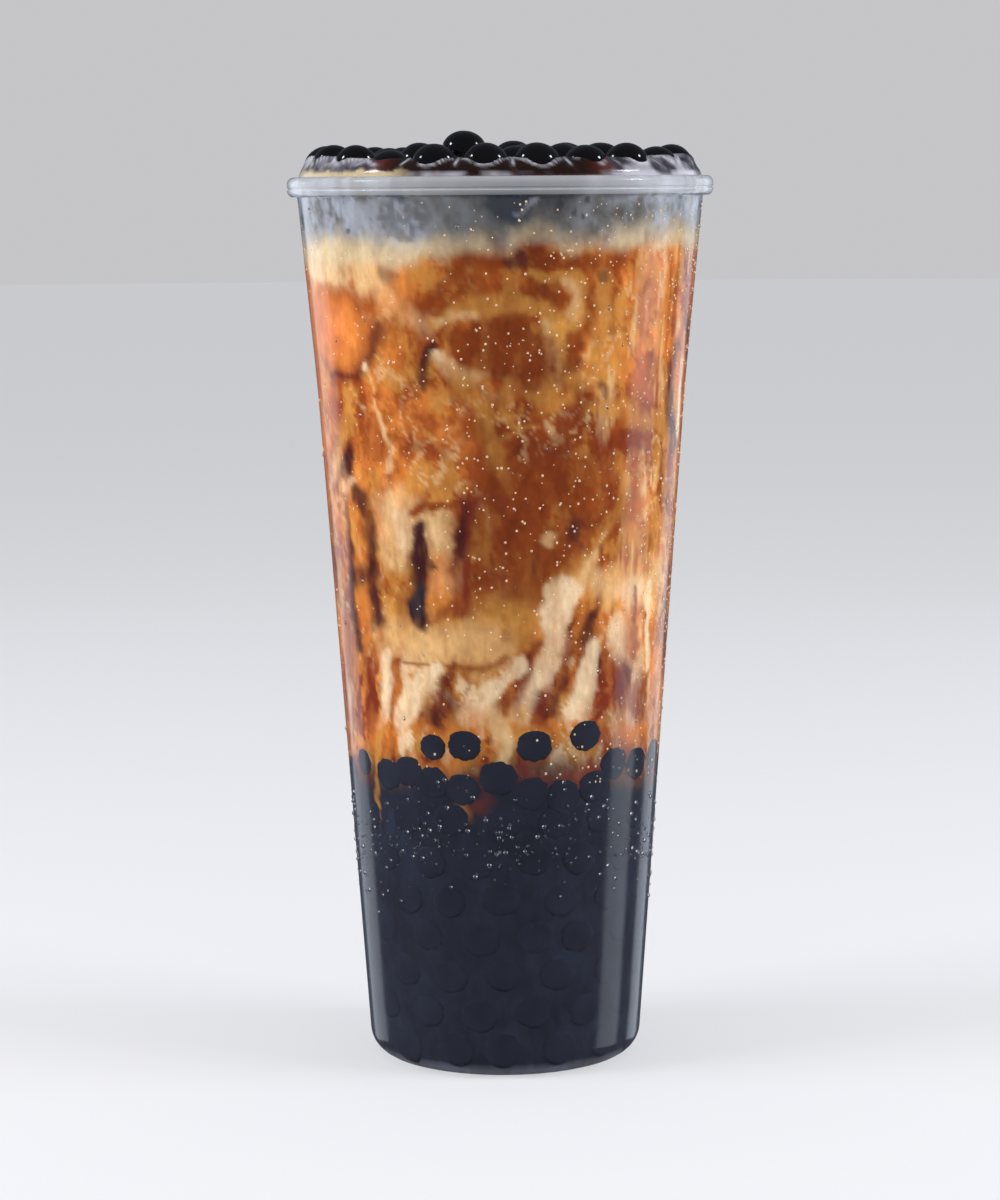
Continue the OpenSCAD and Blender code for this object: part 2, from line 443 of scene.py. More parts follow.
# Marks on the front half: paint, places as (angle, height), width at the start and end in
# millimetres, softness of the edge, strength. A mark with one place is an oval, with its width
# and its height instead.
SWIRLS = [
    # cream that hangs from the band at the left
    ("cream", [(-72, 170), (-54, 168.5), (-38, 167)], (10, 8), 0.7, 0.85),
    ("milk", [(-72, 168), (-58, 166)], (6, 7), 0.9, 0.6),
    ("cream", [(-40, 168), (-33, 161), (-24, 157)], (6, 5), 0.9, 0.45),
    ("orange", [(-30, 164), (-38, 158), (-34, 152)], (6, 8), 0.9, 0.5),
    # syrup under the band
    ("dark", [(-12, 172), (0, 171), (14, 171), (36, 170)], (3, 4), 0.9, 0.8),
    ("dark", [(-9, 171), (-16, 166), (-22, 162)], (3, 2), 0.8, 0.8),
    ("dark", [(6, 165), (12, 165), (16, 162)], (3, 5), 0.7, 0.8),
    ("caramel", [(-8, 167), (4, 167)], (7, 6), 0.9, 0.6),
    # the long cream arc round the dark patch
    ("tan", [(-20, 158), (-13, 161), (-4, 162), (6, 161)], (3.6, 4.4), 0.7, 0.95),
    ("cream", [(-19, 158.5), (-14, 160), (-9, 160)], (2.5, 2), 0.8, 0.6),
    ("tan", [(4, 161), (11, 160), (15, 155), (16, 148), (11, 142)], (3.5, 6.5), 0.6, 0.95),
    ("cream", [(12, 157), (14, 150), (15, 145)], (2, 3), 0.9, 0.5),
    ("tan", [(7, 168.5), (15, 168.5), (21, 167), (23, 162), (20, 157), (16, 154)], (1.5, 3.5), 0.6, 0.9),
    ("cream", [(19, 167), (22, 163), (20, 159)], (1.5, 2), 0.9, 0.6),
    # dark patches
    ("dark", [(-17, 155), (-9, 154.5)], (4, 7), 0.5, 0.9),
    ("dark", [(-5, 153), (2, 151), (6, 149)], (13, 11), 0.35, 0.95),
    ("red", [(-4, 146), (4, 145)], (3.5, 3), 0.7, 0.7),
    ("dark", [(20, 154), (20, 149), (18, 145)], (3, 5.5), 0.5, 0.9),
    ("dark", [(26, 163), (25, 155)], (2.5, 2), 0.9, 0.5),
    ("tan", [(31, 161), (29, 154), (27, 150)], (3, 3.5), 0.9, 0.7),
    # cream lines at the left
    ("tan", [(-53, 142), (-61, 135), (-68, 127)], (2.5, 4.5), 0.9, 0.85),
    ("cream", [(-67, 129), (-70, 124)], (2.5, 3), 0.9, 0.6),
    ("cream", [(-44, 147), (-42, 139), (-38, 132), (-39, 127)], (0.7, 1.7), 0.6, 0.8),
    ("tan", [(-39, 144), (-30, 145), (-20, 147)], (1.2, 2.5), 0.9, 0.5),
    ("cream", [(-19, 149), (-13, 146), (-8, 145)], (3.5, 4), 0.6, 0.75),
    ("plum", [(-20.5, 152), (-22, 149.5), (-24, 146)], (2.2, 2.8), 0.7, 0.9),
    ("milk", [(-19, 149.5), (-18, 148)], (2, 1.5), 0.8, 0.6),
    ("tan", [(-26, 134), (-20, 130), (-16, 126)], (1.0, 1.4), 0.6, 0.8),
    ("red", [(-36, 133), (-28, 131), (-20, 130)], (1, 4), 0.9, 0.5),
    # centre wisps
    ("tan", [(-11, 144), (-7, 140), (-5, 132), (-3, 126), (1, 120)], (5, 2), 0.8, 0.75),
    ("tan", [(3, 144), (1, 140), (-1, 136)], (3, 2), 0.8, 0.75),
    ("tan", [(-6, 130), (4, 133), (12, 135)], (1, 1), 0.9, 0.6),
    ("cream", [(14, 137), (18, 133)], (1.2, 1.8), 0.6, 0.6),
    ("tan", [(-2, 124), (2, 119)], (1.5, 1), 0.9, 0.7),
    # right side
    ("tan", [(18, 145), (25, 145.5), (33, 148)], (4, 2.5), 0.9, 0.75),
    ("cream", [(34, 147), (35, 141), (35, 135)], (0.9, 0.9), 0.7, 0.6),
    ("tan", [(26, 139), (38, 138), (50, 136)], (3, 4.5), 0.8, 0.8),
    ("red", [(24, 141), (19, 138)], (4, 3), 0.8, 0.7),
    ("plum", [(32, 143), (34, 140)], (2.0, 1.6), 0.8, 0.7),
    ("red", [(44, 141.5), (47, 141)], (3, 3), 0.8, 0.8),
    ("rose", [(46, 171), (48, 160), (47, 150), (50, 142)], (2, 4), 0.9, 0.6),
    ("tan", [(42, 170), (42, 162)], (1, 1), 0.9, 0.6),
    ("tan", [(55, 168), (56, 158), (54, 146)], (1.2, 1.6), 0.9, 0.6),
    ("red", [(38, 130), (33, 126), (40, 118)], (5, 7), 0.9, 0.6),
    ("dark", [(14, 130), (24, 127), (30, 121)], (8, 12), 0.7, 0.85),
    ("dark", [(6, 122), (12, 117)], (10, 12), 0.8, 0.7),
    ("caramel", [(44, 126), (48, 116)], (6, 6), 0.9, 0.7),
    ("cream", [(43, 124), (42, 119)], (1.2, 1.2), 0.8, 0.5),
    # the left edge: cream at its top, then a block and streaks behind it
    ("plum", [(-57, 131), (-59, 126)], (3.5, 4.6), 0.6, 0.95),
    ("milk", [(-56, 123.5), (-60, 121.5)], (3.2, 4.2), 0.6, 0.85),
    # broad tan field over the fingers
    ("tan", [(-36, 93), (-22, 91), (-4, 91), (10, 95)], (13, 14), 0.5, 0.95),
    ("cream", [(-40, 90), (-24, 88), (-6, 88)], (10, 9), 0.8, 0.6),
    ("cream", [(-37, 118), (-37, 112), (-38, 106)], (9, 7), 0.6, 0.8),
    ("milk", [(-35, 117), (-34, 110)], (3, 3), 0.9, 0.55),
    # dark field to the right of the block
    ("dark", [(-5, 116), (4, 110), (12, 104)], (10, 13), 0.6, 0.9),
    ("dark", [(-6, 121), (4, 119)], (4, 6), 0.8, 0.6),
    ("dark", [(20, 113), (16, 102)], (7, 9), 0.8, 0.7),
    ("red", [(-3, 103), (3, 100)], (7, 6), 0.9, 0.7),
    ("plum", [(25, 114.5), (24, 112)], (3.2, 3.2), 0.7, 0.8),
    ("cream", [(17, 112.5), (15, 110)], (1.6, 2.2), 0.8, 0.7),
    # the long slanting finger
    ("tan", [(42, 124), (36, 114), (29, 106), (22, 100)], (2, 6), 0.7, 0.85),
    ("cream", [(35, 112), (28, 104), (23, 98)], (1, 4), 0.8, 0.7),
    ("orange", [(26, 99), (18, 92), (13, 84)], (5, 6), 0.8, 0.8),
    ("milk", [(22, 99), (19, 91), (15, 83), (11, 77), (7, 72.5)], (6.5, 5), 0.3, 0.95),
    ("red", [(34, 110), (33, 100), (30, 92)], (1.8, 1.8), 0.8, 0.8),
    ("dark", [(9, 88), (8, 80), (6, 73)], (1.5, 3), 0.8, 0.8),
    # right-hand cream field and its fingers
    ("cream", [(38, 100), (50, 99), (62, 102)], (9, 9), 0.6, 0.85),
    ("milk", [(44, 98), (54, 99)], (5, 4), 0.9, 0.5),
    ("milk", [(41, 92), (43, 86)], (4, 3.5), 0.5, 0.8),
    ("milk", [(60, 101), (58, 93), (62, 83)], (2, 2.6), 0.5, 0.9),
    ("red", [(50, 100), (50, 92), (51, 86)], (0.8, 2.2), 0.7, 0.8),
    ("red", [(38, 80), (50, 79), (60, 76)], (12, 12), 0.7, 0.9),
    ("plum", [(48, 83), (48, 76)], (3, 5), 0.9, 0.6),
    ("plum", [(30, 94), (30, 89), (35, 84)], (2, 3.6), 0.6, 0.9),
    ("orange", [(66, 86), (66, 74)], (3, 2.5), 0.9, 0.8),
    ("milk", [(64, 80), (65, 73)], (1.2, 1.2), 0.9, 0.6),
    # fingers over the bed
    ("red", [(-56, 86), (-55, 78), (-58, 70)], (3, 5), 0.6, 0.9),
    ("red", [(-38, 84), (-41, 78), (-42, 70)], (1.8, 3.6), 0.6, 0.9),
    ("red", [(-17, 82), (-20, 77), (-26, 71)], (2, 5), 0.6, 0.9),
    ("red", [(11, 88), (6, 80), (-2, 72)], (1.6, 4.2), 0.6, 0.9),
    ("red", [(25, 92), (22, 84), (17, 74)], (1.4, 4.5), 0.6, 0.9),
    ("orange", [(-42, 71), (-20, 69.5), (-4, 70), (14, 70), (30, 72)], (4, 4), 0.9, 0.7),
    ("plum", [(-21, 79), (-19, 75)], (3, 3), 0.9, 0.5),
    ("dark", [(-38, 83), (-22, 83), (-12, 82), (-1, 85)], (1, 1.2), 0.7, 0.75),
    ("milk", [(-44, 86), (-46, 78), (-49, 71.5)], (3.4, 4.4), 0.4, 0.95),
    ("orange", [(-40, 82), (-41, 74)], (3, 2.5), 0.9, 0.6),
    ("milk", [(-24, 82), (-31, 76.5), (-37, 72)], (4.2, 5.6), 0.4, 0.95),
    ("milk", [(5, 83), (-4, 78), (-13, 72.5)], (4.2, 4.6), 0.4, 0.95),
    ("milk", [(33, 87), (30, 80), (27, 74)], (4, 4.6), 0.4, 0.95),
    ("plum", [(21, 80), (18, 74)], (1.6, 2.6), 0.8, 0.6),
    ("plum", [(-23, 74), (-23, 72)], (2.4, 2.2), 0.8, 0.8),
    ("cream", [(-6, 73), (-1, 69), (0, 63)], (4, 3.2), 0.6, 0.9),
    ("orange", [(-12, 73), (-16, 69)], (5, 5), 0.9, 0.7),
    ("tan", [(8, 74), (6, 68)], (4, 3), 0.9, 0.7),
    ("orange", [(-52, 70), (-46, 66)], (8, 6), 0.8, 0.7),
    ("tan", [(-49, 68), (-53, 62), (-54, 52)], (2.5, 1.8), 0.6, 0.95),
    ("red", [(36, 70), (50, 68), (60, 68)], (7, 8), 0.8, 0.85),
    ("orange", [(52, 69), (64, 71)], (4, 4), 0.9, 0.7),
    # edges, where the wall turns away, with rose strips down both edges as painted rim light
    ("rose", [(-84, 168), (-84, 130), (-84, 90), (-84, 72)], (7, 7), 0.9, 0.7),
    ("plum", [(-76, 118), (-78, 106), (-74, 98)], (1.5, 3), 0.9, 0.6),
    ("red", [(-70, 96), (-72, 84), (-70, 72)], (5, 8), 0.9, 0.7),
    ("rose", [(80, 166), (82, 130), (82, 96), (80, 76)], (6, 6), 0.9, 0.6),
    ("plum", [(68, 152), (65, 143), (70, 132)], (3, 5), 0.6, 0.95),
    ("milk", [(75, 149), (76, 141), (75, 134)], (2.2, 2.2), 0.7, 0.95),
    ("plum", [(76, 158), (82, 151)], (3.5, 4), 0.7, 0.95),
    ("plum", [(78, 104), (76, 94), (80, 86)], (3, 4), 0.8, 0.7),
    ("milk", [(72, 106), (71, 96)], (1.2, 1.2), 0.9, 0.5),
]

# Ice cubes behind the wall.
ICE = [
    # rounded block at the upper left, with light behind it
    ("red", [(-58, 155)], (27, 20), 0.16, 0.75),
    ("orange", [(-61, 156.5)], (24, 16), 0.4, 0.95),
    ("rose", [(-62, 157)], (12, 9), 0.9, 0.5),
    ("plum", [(-66, 147), (-50, 146.5), (-42, 150), (-39, 156)], (1.5, 3), 0.9, 0.6),
    # a painted glint under the block
    ("milk", [(-46, 147.5)], (2.2, 1.8), 0.6, 0.9),
    # two legs and a bar at the left
    ("orange", [(-55, 120), (-55, 98)], (8, 8), 0.6, 0.8),
    ("plum", [(-60, 119), (-61, 106), (-61, 90)], (2.4, 3.2), 0.7, 0.85),
    ("plum", [(-54, 121.5), (-49, 117), (-48, 104), (-46, 95)], (4.2, 4.4), 0.6, 0.9),
    ("plum", [(-60, 104), (-48, 105)], (4.6, 4.2), 0.7, 0.8),
    ("tan", [(-57, 117), (-57, 109)], (1.6, 1.4), 0.7, 0.8),
    # upright block with a drip of syrup inside it
    ("cream", [(-24, 113), (-20, 112), (-18, 102)], (6, 7), 0.5, 0.9),
    ("orange", [(-20, 104), (-18, 97)], (6, 6), 0.7, 0.8),
    ("dark", [(-30, 117), (-20, 117.5), (-13, 116)], (1.8, 3), 0.6, 0.95),
    ("red", [(-12, 117), (-13, 106), (-13, 95)], (5, 3.6), 0.5, 0.95),
    ("plum", [(-13, 116), (-13.5, 107)], (2.4, 2), 0.8, 0.8),
    ("dark", [(-13, 98), (-20, 94.5), (-27, 93.5)], (1.6, 1), 0.8, 0.6),
    ("plum", [(-28, 113), (-28.5, 105), (-27.5, 95)], (3.2, 5), 0.4, 1),
    ("plum", [(-27, 106), (-22, 103)], (2.5, 0.8), 0.8, 0.8),
    ("sunk", [(-27.5, 97.5)], (3.6, 6), 0.5, 0.8),
]

# Sunk pearls and bubbles seen through the tea.
DOTS = [
    ("plum", [(4, 171.4)], (4, 4), 0.5, 0.75),
    ("plum", [(-34, 167.2)], (4.4, 4.4), 0.5, 0.5),
    ("plum", [(-61, 172)], (3.2, 3.2), 0.5, 0.35),
    ("plum", [(30.5, 167.2)], (3.2, 3.2), 0.5, 0.55),
    ("plum", [(2, 129)], (2.4, 2.4), 0.5, 0.4),
    ("plum", [(66, 172)], (2.4, 2.4), 0.5, 0.5),
]

# Behind the thin milk of the band: the pale ring of one pearl, dark pearls and a line of bubbles, and a
# pale stroke that is a painted glint.
BAND_RING = [
    ("haze_and_painted_light", [(-29, 179)], (15, 14), 0.3, 0.35),
    ("band_grey", [(-29, 179.5)], (12.5, 11.5), 0.15, 0.6),
]
BAND_PEARLS = [
    ("sunk", [(-31, 185.5)], (6, 4.5), 0.3, 0.7),
    ("sunk", [(3, 183.5)], (9.5, 10.5), 0.3, 0.95),
    ("sunk", [(15, 186)], (15, 10), 0.3, 0.75),
    ("sunk", [(-10, 186.5)], (12, 6), 0.3, 0.6),
    ("sunk", [(35, 186)], (10, 6), 0.3, 0.5),
    ("sunk", [(58, 186)], (11, 8), 0.3, 0.3),
    ("sunk", [(-52, 186)], (9, 6), 0.3, 0.35),
    # a painted glint: a thin line of light across the band
    ("haze_and_painted_light", [(5, 180.6), (8, 181.6), (10, 182.4)], (1, 1.2), 0.9, 0.6),
]
# Small leaning bubbles there: angle, height, width, length.
BAND_BUBBLES = [
    (15, 181, 1.1, 2.4), (19, 180, 1, 1.4), (22, 179, 1, 1.4), (24, 182, 1.4, 1.6), (-36, 186, 1.2, 1.2),
    (-48, 177, 0.8, 1.2),
]

# Syrup and tea that run down between the bed's top pearls.
BED_RUNS = [
    ("red", [(6, 60), (18, 58), (30, 60)], (4, 4.5), 0.8, 0.6),
    ("orange", [(-18, 64), (-24, 61), (-32, 62)], (4, 3), 0.8, 0.7),
    ("orange", [(-16, 51)], (5, 4.5), 0.9, 0.6),
    ("red", [(-8, 53)], (4, 4), 0.9, 0.5),
    ("tan", [(-50, 67), (-53, 61), (-54, 50)], (2.4, 1.4), 0.7, 0.9),
    ("cream", [(0, 68), (0.5, 63)], (3.4, 2.4), 0.7, 0.8),
]

# The lower bed's top pearls at the front: angle, height, width.
BED_TOP_PEARLS = [
    (-62.5, 63, 6.5), (-47, 60.5, 8.6), (-37, 61, 8.6), (-26, 66.2, 6.2), (-14, 66.6, 8.2),
    (-2, 59.5, 9.6), (11, 66.4, 8.6), (30.5, 68.6, 8.4), (44, 62.5, 9), (35, 57.5, 9),
    (22, 55.5, 9.4), (57, 62.5, 9), (72, 64.5, 9), (-76, 61, 9), (-27, 58.5, 9.4), (-15, 57, 8.6),
    (10, 56, 9.4),
]


class Marbling(Canvas):
    """The look of everything that shows through the wall."""

    # how far round the back's marks are turned, how far they are lifted, and between which heights
    back = 184
    back_lift = 5
    lifted = (90, 165)
    # how much the mottling changes red, green and blue
    mottling = (0.8, 1.1, 1.3)

    def __init__(self, points, context, form):
        scene = context.scene
        self.settings = (scene.boba_tea, scene.boba_pearl, scene.boba_top)
        self.bed_top = scene.boba_pearl.bed_top / MM
        self.form = form
        super().__init__(points, self.tone("caramel"), seed=5, wander=7.5)
        nearness = self.radius * np.abs(np.cos(np.radians(self.angle)))
        self.height = shown_height(context, nearness, self.height)

    def paint(self):
        self.ground()
        self.loose_wisps()
        for turn, lift in ((0, 0), (self.back, self.back_lift)):
            self.marks(SWIRLS, turn, lift, *self.lifted)
            self.marks(ICE, turn, lift)
            self.marks(DOTS, turn)
        self.band()
        self.bed()
        self.grain()

    def tone(self, name):
        """A paint by the name of its setting."""
        return next(getattr(group, name) for group in self.settings if hasattr(group, name))

    def marks(self, rows, turn, lift=0, low=0, high=math.inf):
        """Lays rows of marks, turned round the cup, and lifts the places between two heights."""
        for paint, path, widths, soft, strength in rows:
            places = [(turn + angle, height + lift * (low < height < high)) for angle, height in path]
            if len(places) == 1:
                self.spot(self.tone(paint), *places[0], *widths, soft, strength)
            else:
                self.stroke(self.tone(paint), places, widths, soft, strength)

    def ground(self):
        """Slow changes of colour drawn out into curls, redder tea over the bed, and more orange towards the
        sides, partly painted side light.
        """
        curl = np.stack([self.slip, self.rise, self.slip - self.rise], 1)
        flow = self.points + 1.4 * curl
        slow = self.clouds.at(flow, (15, 15, 19), 4, 0.6)
        # more orange and less dark towards the sides: partly lighter tea, partly painted light from the
        # side lamps
        sides = smooth(0.3, 0.75, np.abs(np.sin(np.radians(self.angle))))
        self.lay(self.tone("orange"), 0.9 * smooth(0.5 - 0.1 * sides, 0.64 - 0.1 * sides, slow))
        self.lay(self.tone("dark"), 0.9 * smooth(0.48, 0.36, slow + 0.05 * sides))
        fine = self.clouds.at(flow + 90, (5.5, 5.5, 8), 5, 0.65)
        self.lay(self.tone("tan"), 0.8 * smooth(0.5, 0.61, fine))
        self.lay(self.tone("red"), 0.45 * smooth(0.47, 0.36, fine))
        low = smooth(96, 78, self.up(0))
        streak = self.clouds.at(flow + 11, (3.4, 3.4, 18), 4, 0.6)
        self.lay(self.tone("tan"), low * 0.85)
        self.lay(self.tone("milk"), 0.8 * low * smooth(0.56, 0.64, streak))
        self.lay(self.tone("orange"), low * smooth(0.5, 0.44, streak))
        self.lay(self.tone("red"), low * smooth(0.46, 0.39, streak))

    def loose_wisps(self):
        """Thin lines of cream where two slow clouds balance, stretched upwards."""
        curl = np.stack([self.rise, self.slip, self.rise], 1)
        for seed, wide, paint in ((140, 0.03, "cream"), (260, 0.022, "cream"), (320, 0.03, "dark")):
            cloud = self.clouds.at(self.points + 1.5 * curl + seed, (9, 9, 14), 4)
            patch = self.clouds.at(self.points + seed * 2, 14, 3)
            line = 1 - smooth(0, wide, np.abs(cloud - 0.5))
            self.lay(self.tone(paint), 0.6 * line * smooth(0.45, 0.6, patch))
        streak = self.clouds.at(self.points + 610, (1.5, 1.5, 16), 3)
        right = smooth(14, 40, self.angle) * smooth(85, 95, self.up(0))
        self.lay(self.tone("cream"), 0.5 * right * smooth(0.62, 0.72, streak))
        self.lay(self.tone("dark"), 0.5 * right * smooth(0.4, 0.3, streak))

    def band(self):
        """Milk under the rim: cream below, thin and grey above, with sunk pearls behind it. A pale haze
        over the grey, strongest at the sides, is partly condensation and partly painted rim light.
        """
        wave = self.clouds.at(self.points + 500, (7, 7, 30), 4) - 0.5
        around = np.where(np.abs(self.angle) > 90, -1, 1) * np.sin(np.radians(self.angle))
        left = smooth(0.2, -0.6, around)
        edge = 173.3 - 3.5 * left + 6 * wave
        height = self.height + 0.6 * self.rise
        cream = smooth(edge - 1.8, edge + 1.8, height)
        self.lay(self.tone("band_cream"), 0.9 * cream)
        self.lay(self.tone("milk"), 0.3 * cream * left)
        smear = self.clouds.at(self.points + 600, (5, 5, 9), 5, 0.65)
        sides = smooth(0.3, 0.85, np.abs(around))
        self.lay(self.tone("caramel"), 0.4 * smooth(0.52, 0.66, smear) * cream * (1 - left))
        foot = 172.6 + 1.2 * sides - 1.5 * left
        grey = smooth(foot, foot + 6.5, height + 8 * (smear - 0.5))
        self.lay(self.tone("band_grey"), 0.95 * grey)
        # pale haze, strongest at the sides: partly condensation, partly painted rim light
        streak = self.clouds.at(self.points + 700, (3.4, 3.4, 5), 5, 0.65)
        self.lay(self.tone("haze_and_painted_light"), (0.2 + 0.68 * sides) * grey * smooth(0.28, 0.66, streak))
        for turn in (0, self.back):
            self.band_pearls(turn)

    def band_pearls(self, turn):
        """Pearls and bubbles behind the thin milk, and a painted glint line."""
        self.marks(BAND_RING, turn)
        mist = self.clouds.at(self.points + 40, 1.1, 2)
        inside = smooth(7, 4, np.hypot(self.across(turn - 30), self.up(178.5)))
        self.lay(self.tone("haze_and_painted_light"), 0.65 * inside * smooth(0.35, 0.8, mist))
        self.marks(BAND_PEARLS, turn)
        for angle, height, wide, tall in BAND_BUBBLES:
            self.spot(self.tone("sunk"), turn + angle, height, wide, tall, 0.4, 0.75, 25)

    def bed(self):
        """The dark bed below, with syrup and tea running down between its top pearls, and a painted light
        line along its foot.
        """
        wave = self.clouds.at(self.points + 200, (9, 9, 200), 3) - 0.5
        depth = self.bed_top + 5 + 9 * wave - self.height
        self.lay(self.tone("plum"), 0.75 * smooth(-5, 3, depth))
        streak = self.clouds.at(self.points + 300, (6, 6, 12), 3)
        edge = smooth(-5, 0, depth) * smooth(12, 4, depth)
        self.lay(self.tone("red"), 0.8 * edge * smooth(0.5, 0.65, streak))
        self.lay(self.tone("sunk"), smooth(0, 7, depth))
        # painted light: a pale line along the foot, where the base's curve catches the light
        foot = smooth(self.form.floor + 2.6, self.form.floor + 0.4, self.points[:, 2])
        self.lay(self.tone("haze_and_painted_light"), 0.5 * foot)
        for turn in (0, self.back):
            self.marks(BED_RUNS, turn)

    def grain(self):
        """Fine mottling all over."""
        wide = self.clouds.at(self.points + 430, (4.5, 4.5, 6), 3, 0.7) - 0.5
        fine = self.clouds.at(self.points + 400, (1.5, 1.5, 2.4), 2) - 0.5
        light = self.colours.mean(1)
        calm = 1 - 0.55 * smooth(0.25, 0.6, light) - 0.4 * smooth(174, 178, self.height)
        change = (0.9 * wide + 0.35 * fine) * calm
        self.colours *= np.exp(change[:, None] * np.array(self.mottling))


class PaintedBody:
    """Outlines of the contents, in millimetres, which reach just into the wall."""

    def __init__(self, context):
        self.form = CupForm(context)
        self.reach = context.scene.boba_tea.reach / MM

    def wall_line(self, low, high, step):
        count = max(2, round((high - low) / step) + 1)
        return [(float(self.form.inner(z)) + self.reach, z) for z in np.linspace(low, high, count)]

    def disc(self, radius, z, parts):
        """Points from the axis out to a radius."""
        return [(radius * n / parts, z) for n in range(parts)]

    def painted(self, name, outline, around, context):
        """The body of an outline with its marbling stored on it."""
        body = revolve(name, outline, around)
        canvas = Marbling(points_of(body.data), context, self.form)
        canvas.paint()
        canvas.store(body.data)
        return body


def tea_top():
    """The height where the tea's mesh ends and the milk's begins, halfway across their gap."""
    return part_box("milk_tea")[1].z / MM + 0.05


# ---------------------------------------------------------------- materials


PLASTIC_IOR = 1.49
WATER_IOR = 1.33
TAPIOCA_IOR = 1.42


def new_material(name, values):
    """A material with one shader, whose sockets take the values given by their names."""
    material = bpy.data.materials.new(name)
    material.use_nodes = True
    nodes = material.node_tree.nodes
    nodes.clear()
    out = nodes.new("ShaderNodeOutputMaterial")
    shader = nodes.new("ShaderNodeBsdfPrincipled")
    material.node_tree.links.new(shader.outputs["BSDF"], out.inputs["Surface"])
    for key, value in values.items():
        shader.inputs[key].default_value = value
    return material, shader


def node(material, kind, **values):
    made = material.node_tree.nodes.new(kind)
    for key, value in values.items():
        if key in made.inputs:
            made.inputs[key].default_value = value
        else:
            setattr(made, key, value)
    return made


def link(material, output, socket):
    material.node_tree.links.new(output, socket)


def object_noise(material, scale, detail=3.0, stretch=(1, 1, 1)):
    """Noise on Object coordinates; scale is in cycles for each metre."""
    place = node(material, "ShaderNodeTexCoord")
    mapping = node(material, "ShaderNodeMapping")
    mapping.inputs["Scale"].default_value = stretch
    noise = node(material, "ShaderNodeTexNoise", Scale=scale, Detail=detail)
    link(material, place.outputs["Object"], mapping.inputs["Vector"])
    link(material, mapping.outputs["Vector"], noise.inputs["Vector"])
    return noise.outputs["Fac"]


def ramp(material, factor, low, high):
    """A number that goes from low to high as the factor goes from 0.3 to 0.7."""
    span = node(material, "ShaderNodeMapRange")
    for key, value in (("From Min", 0.3), ("From Max", 0.7), ("To Min", low), ("To Max", high)):
        span.inputs[key].default_value = value
    link(material, factor, span.inputs["Value"])
    return span.outputs["Result"]


def bump(material, shader, height, distance, strength=1.0):
    made = node(material, "ShaderNodeBump", Strength=strength, Distance=distance)
    link(material, height, made.inputs["Height"])
    link(material, made.outputs["Normal"], shader.inputs["Normal"])


def two_tone(material, shader, factor, low, high):
    """A base colour between two, by a factor."""
    fade = node(material, "ShaderNodeMix", data_type="RGBA")
    fade.inputs[6].default_value = (*low, 1)
    fade.inputs[7].default_value = (*high, 1)
    link(material, factor, fade.inputs[0])
    link(material, fade.outputs[2], shader.inputs["Base Color"])


def rough_noise(material, shader, scale, low, high, detail=3.0):
    """Roughness that wanders from low to high."""
    noise = object_noise(material, scale, detail)
    link(material, ramp(material, noise, low, high), shader.inputs["Roughness"])


def painted_material(name, rough, specular, mottle, skin=0.0):
    """A wet surface whose colour comes from the mesh's own paint, with finer mottling over it.

    The skin is how uneven the surface is, in millimetres.
    """
    material, shader = new_material(name, {"Specular IOR Level": specular})
    paint = node(material, "ShaderNodeAttribute", attribute_name=PAINT)
    change = ramp(material, object_noise(material, 900, 4.0, (1, 1, 0.55)), 1 - mottle, 1 + mottle)
    mix = node(material, "ShaderNodeVectorMath", operation="SCALE")
    link(material, paint.outputs["Color"], mix.inputs[0])
    link(material, change, mix.inputs["Scale"])
    link(material, mix.outputs["Vector"], shader.inputs["Base Color"])
    rough_noise(material, shader, 300, rough * 0.8, rough * 1.2)
    if skin:
        bump(material, shader, object_noise(material, 350, 2.0), skin * MM, 0.3)
    return material


def plastic_material(context):
    cup = context.scene.boba_cup
    material, shader = new_material("clear_plastic", {
        "Base Color": (*cup.plastic, 1), "Roughness": cup.haze, "IOR": PLASTIC_IOR,
        "Transmission Weight": 1})
    bump(material, shader, object_noise(material, 60, 2.0, (1, 1, 0.3)), 0.02 * MM, 0.5)
    return material


def rim_material(context):
    """Thicker plastic, whose curves gather milky light."""
    cup = context.scene.boba_cup
    material, shader = new_material("rolled_rim_plastic", {
        "Base Color": (*cup.plastic, 1), "IOR": PLASTIC_IOR, "Transmission Weight": cup.rim_clear})
    rough_noise(material, shader, 500, 0.12, 0.24, 2.0)
    bump(material, shader, object_noise(material, 200, 2.0, (1, 1, 4)), 0.04 * MM, 0.5)
    return material


def mist_sparkle_material():
    """Fine drops coloured a partly clear warm white, a painted sparkle that stands in for their tiny
    highlights.
    """
    # the warm white base colour is painted sparkle for the drops' highlights
    material, shader = new_material("fine_condensation_glints", {
        "Base Color": (1, 0.84, 0.62, 1), "IOR": WATER_IOR, "Transmission Weight": 0.6})
    rough_noise(material, shader, 900, 0.15, 0.35)
    return material


def water_material():
    material, shader = new_material("condensation", {
        "Base Color": (1, 1, 1, 1), "Roughness": 0.1, "IOR": WATER_IOR, "Specular IOR Level": 0.35,
        "Transmission Weight": 1})
    bump(material, shader, object_noise(material, 1500, 1.0), 0.01 * MM, 0.3)
    return material


def top_pearl_material(context):
    tint = context.scene.boba_pearl.top
    material, shader = new_material("glazed_tapioca", {
        "IOR": TAPIOCA_IOR, "Coat Weight": 0.4, "Coat Roughness": 0.04})
    two_tone(material, shader, object_noise(material, 260), [c * 0.35 for c in tint], tint)
    rough_noise(material, shader, 500, 0.07, 0.16)
    bump(material, shader, object_noise(material, 420, 2.0), 0.12 * MM, 0.5)
    return material


def sunk_pearl_material(context):
    # its navy is partly a painted reflection of pale light off the misted plastic
    tint = context.scene.boba_pearl.sunk
    material, shader = new_material("tapioca_in_syrup", {"Specular IOR Level": 0.1})
    factor = ramp(material, object_noise(material, 150), 0, 1)
    two_tone(material, shader, factor, [c * 0.8 for c in tint], [c * 1.2 for c in tint])
    rough_noise(material, shader, 600, 0.35, 0.5)
    return material


# ---------------------------------------------------------------- operators


class BobaOperator:
    bl_options = {"REGISTER", "UNDO"}


